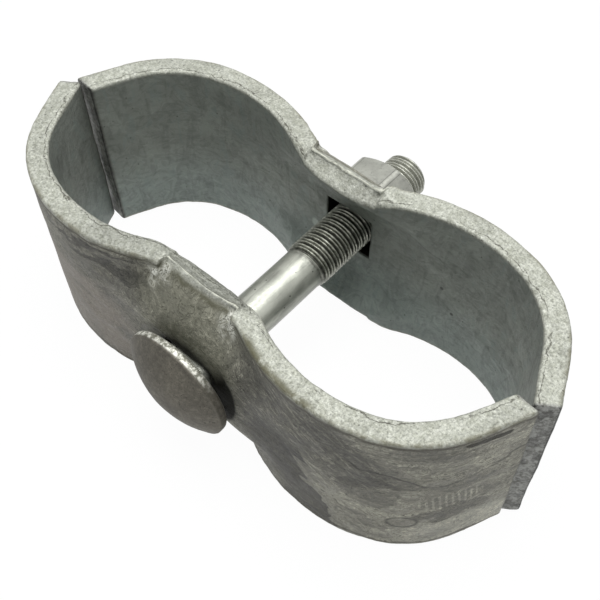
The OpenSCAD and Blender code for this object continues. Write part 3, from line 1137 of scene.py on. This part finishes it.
def zinc_bolt(name):
    """Satin shank, matte head, thread with painted highlights on its crests and painted shade in its
    roots.
    """
    n = Nodes(name)
    large = n.noise(8, detail=5, distortion=0.6, shift=21)
    streak = n.noise((1.2, 7.0, 1.2), detail=4, shift=25)
    grain = n.noise(0.8, detail=5, roughness=0.7, shift=23)
    fine = n.noise(0.3, detail=3, roughness=0.7, shift=24)
    shank = n.shade(tone(168, 170, 160), n.ramp(large, 0.35, 0.65), 1.15)
    shank = n.shade(shank, n.ramp(streak, 0.5, 0.7, 0.0, 0.8), 0.80)
    shank = n.mix(n.times(n.spots(2.4, 0.17, 4.0), 0.8), shank, tone(66, 66, 60))
    curl = n.noise(1.6, detail=2, distortion=2.4, shift=26)
    head = n.shade(tone(88, 85, 77), n.ramp(large, 0.38, 0.62), 1.18)
    head = n.shades(
        head,
        (n.ramp(grain, 0.42, 0.70), 1.20),
        (n.times(n.contours(curl, 2.2, 0.12), n.ramp(large, 0.42, 0.55)), 0.50),
        (n.ramp(fine, 0.53, 0.65), 0.84),
    )

    # A painted highlight on the upper side of the head's rim
    x, y, z = n.axes(n.place)
    upper = n.times(n.ramp(z, -1.0, 5.0), n.ramp(x, 9.5, 5.5))
    rim = n.mix(n.ramp(grain, 0.4, 0.6), tone(126, 126, 114), tone(236, 236, 226))
    head = n.mix(n.times(n.attribute("rim"), upper), head, rim)
    thread = n.mix(n.ramp(grain, 0.35, 0.65), tone(98, 100, 91), tone(144, 145, 135))
    # Painted shade in the thread's roots, less of it towards the tip, and a painted highlight on its
    # crests
    root = n.shade(thread, n.ramp(y, SEAT + NUT_T + 2.0, SEAT + NUT_T, 0.25, 1.0), 0.76)
    thread = n.mix(n.attribute("crest"), root, n.shade(thread, 1.0, 1.34))
    # Painted light over the thread beyond the nut, lighter towards the tip
    at_tip = n.ramp(y, SEAT + NUT_T, SEAT + NUT_T + 2.0, 0.0, 0.6)
    thread = n.mix(at_tip, thread, tone(200, 201, 192))
    colour = n.mix(n.attribute("thread"), shank, thread)
    colour = n.mix(n.attribute("head"), colour, head)
    return n.surface(n.add(
        "ShaderNodeBsdfPrincipled",
        Base_Color=colour,
        Metallic=0.55,
        Roughness=n.ramp(n.attribute("head"), 0.0, 1.0, 0.32, 0.6),
        Normal=n.bump(fine, 0.35, 0.05, n.bump(grain, 0.35, 0.12)),
    ))


def zinc_nut(name):
    """Light fine-grained zinc, darker in the thread."""
    n = Nodes(name)
    large = n.noise(4, detail=5, distortion=0.5, shift=31)
    grain = n.noise(0.7, detail=5, roughness=0.7, shift=33)
    round_corner = n.attribute("corner")
    colour = n.shades(
        tone(154, 155, 147),
        (n.ramp(large, 0.35, 0.65), 1.13),
        (n.ramp(grain, 0.5, 0.70), 0.86),
        (n.spots(1.6, 0.15, 5.0), 0.78),
        # A painted highlight along the nut's corners, edged by painted dark lines
        (n.ridge(round_corner, 0.4, 0.4), 0.76),
        (n.ramp(round_corner, 0.7, 1.0), 1.10),
    )
    colour = n.mix(n.attribute("bore"), colour, tone(96, 97, 90))
    return n.surface(n.add(
        "ShaderNodeBsdfPrincipled",
        Base_Color=colour,
        Metallic=0.35,
        Roughness=0.5,
        Normal=n.bump(grain, 0.4, 0.14),
    ))


# Stage, light and camera

def white_floor():
    """A pale floor that the camera sees as white, with the object's soft shadow left on it."""
    side = 3.0
    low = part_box("rear_saddle")[0][2] - ZINC_LUMPS * MM
    corners = [(-side, -side, low), (side, -side, low), (side, side, low), (-side, side, low)]
    mesh = bpy.data.meshes.new("floor")
    mesh.from_pydata(corners, [], [(0, 1, 2, 3)])
    n = Nodes("pale_floor")
    mix = n.add("ShaderNodeMixShader", Fac=seen_directly(n, 0.93))
    matt = n.add("ShaderNodeBsdfDiffuse", Color=(0.62, 0.62, 0.62, 1))
    glow = n.add("ShaderNodeEmission", Strength=1.04)
    n.give(mix.inputs[1], matt.outputs[0])
    n.give(mix.inputs[2], glow.outputs[0])
    mesh.materials.append(n.surface(mix))
    placed("floor", mesh)


def seen_directly(n, share):
    """A factor of share for what the camera, a reflection or glass sees, and 0 for other light."""
    path = n.add("ShaderNodeLightPath").outputs
    seen = [path[f"Is {ray} Ray"] for ray in ("Camera", "Glossy", "Transmission")]
    return n.times(n.joined("MAXIMUM", seen), share)


def soft_world():
    """White where the camera looks, a plain grey fill for the rest."""
    n = Nodes("studio", world=True)
    fill = n.mix(seen_directly(n, 1.0), (0.28, 0.285, 0.29, 1), (1, 1, 1, 1))
    bpy.context.scene.world = n.surface(n.add("ShaderNodeBackground", Color=fill), "World")


def soft_light(place, size, watts):
    """A round lamp above the clamp that looks at its middle."""
    data = bpy.data.lights.new("top", "AREA")
    data.shape = "DISK"
    data.size = size
    data.energy = watts
    lamp = placed("top", data)
    lamp.location = place
    lamp.rotation_euler = (-Vector(place)).to_track_quat("-Z", "Y").to_euler()


def camera():
    data = bpy.data.cameras.new("camera")
    data.lens = CAMERA_LENS
    data.sensor_width = 36.0
    data.clip_start = 0.005
    turn = Euler([math.radians(a) for a in CAMERA_TURN], "XYZ").to_matrix().to_4x4()
    obj = placed("camera", data)
    obj.matrix_world = Matrix.Translation(CAMERA_PLACE) @ turn
    bpy.context.scene.camera = obj


def dress(obj, body, node, material):
    """Puts a piece on its body in place of a solid, with its material."""
    obj.data.materials.append(material)
    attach(obj, body)
    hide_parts(node)


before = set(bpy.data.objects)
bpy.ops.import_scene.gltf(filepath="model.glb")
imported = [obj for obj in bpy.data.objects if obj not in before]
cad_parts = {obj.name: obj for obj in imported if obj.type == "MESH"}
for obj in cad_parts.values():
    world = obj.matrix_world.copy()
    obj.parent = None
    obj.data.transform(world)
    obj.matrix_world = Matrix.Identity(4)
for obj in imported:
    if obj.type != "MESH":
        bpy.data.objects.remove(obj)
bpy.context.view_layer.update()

camera()
white_floor()
soft_world()
soft_light((0.0, 0.06, 0.55), 0.45, 2.6)

dress(saddle("front_saddle_skin", 3, True), "front", "front_saddle",
      zinc_strap("zinc_front_saddle", tone(108, 107, 98), tone(134, 138, 131), 0.0, True))
dress(saddle("rear_saddle_skin", 5, False), "rear", "rear_saddle",
      zinc_strap("zinc_rear_saddle", tone(108, 107, 98), tone(134, 139, 131), 9.0, False))
dress(carriage_bolt("carriage_bolt_skin"), "front", "carriage_bolt",
      zinc_bolt("zinc_bolt"))
dress(hex_nut("hex_nut_skin"), "nut", "hex_nut", zinc_nut("zinc_nut"))

bpy.context.scene.view_settings.view_transform = "Standard"
